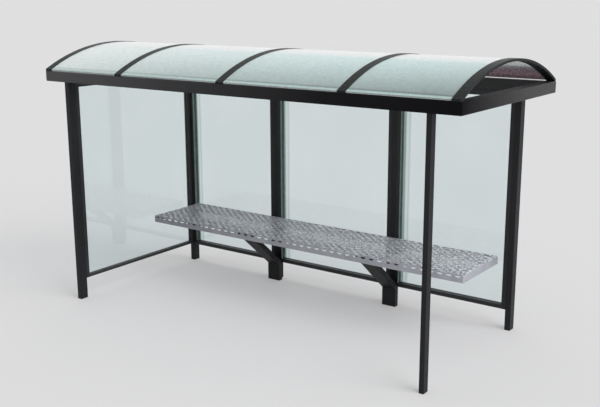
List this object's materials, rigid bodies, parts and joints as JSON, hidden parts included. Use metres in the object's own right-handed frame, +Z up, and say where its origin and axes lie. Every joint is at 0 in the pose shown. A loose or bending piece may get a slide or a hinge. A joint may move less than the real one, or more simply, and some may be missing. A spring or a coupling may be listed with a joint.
{
  "type": "bus shelter",
  "caption": "Bus shelter with a barrel-vaulted translucent roof on slim posts, a framed glass back, one glazed end and a long perforated bench on cranked brackets.",
  "frame": {"origin": "on the ground at the centre of the roof's plan", "axes": "+X runs along the shelter towards its open end, the open front faces -Y, +Z is up"},
  "size_m": [4.282, 1.718, 2.428],
  "materials": {
    "charcoal_paint": "powder-coated charcoal, satin",
    "charcoal_bars": "powder-coated charcoal, satin",
    "tinted_glass": "clear toughened glass with a faint aqua tint",
    "frosted_sheet": "pebbled translucent sheet with an aqua tint",
    "perforated_steel": "light grey perforated sheet, speckled"
  },
  "bodies": {
    "root": {"back_beam": "charcoal_paint", "back_inner_left_post": "charcoal_paint", "back_inner_right_post": "charcoal_paint", "back_left_bottom_rail": "charcoal_bars", "back_left_glass": "tinted_glass", "back_left_left_stile": "charcoal_bars", "back_left_post": "charcoal_paint", "back_left_right_stile": "charcoal_bars", "back_left_top_rail": "charcoal_bars", "back_middle_bottom_rail": "charcoal_bars", "back_middle_glass": "tinted_glass", "back_middle_left_stile": "charcoal_bars", "back_middle_right_stile": "charcoal_bars", "back_middle_top_rail": "charcoal_bars", "back_right_bottom_rail": "charcoal_bars", "back_right_glass": "tinted_glass", "back_right_left_stile": "charcoal_bars", "back_right_post": "charcoal_paint", "back_right_right_stile": "charcoal_bars", "back_right_top_rail": "charcoal_bars", "bench_bearers": "charcoal_paint", "bench_brace_left": "charcoal_paint", "bench_brace_right": "charcoal_paint", "bench_foot_left": "charcoal_paint", "bench_foot_right": "charcoal_paint", "bench_seat": "perforated_steel", "front_beam": "charcoal_paint", "front_left_post": "charcoal_paint", "front_right_slim_post": "charcoal_paint", "left_beam": "charcoal_paint", "left_end_back_stile": "charcoal_bars", "left_end_bottom_rail": "charcoal_bars", "left_end_front_stile": "charcoal_bars", "left_end_glass": "tinted_glass", "left_end_top_rail": "charcoal_bars", "right_beam": "charcoal_paint", "roof_rib_left": "charcoal_bars", "roof_rib_left_end": "charcoal_bars", "roof_rib_middle": "charcoal_bars", "roof_rib_right": "charcoal_bars", "roof_rib_right_end": "charcoal_bars", "roof_sheet_left_end": "frosted_sheet", "roof_sheet_left_middle": "frosted_sheet", "roof_sheet_right_end": "frosted_sheet", "roof_sheet_right_middle": "frosted_sheet"}
  },
  "joints": []
}
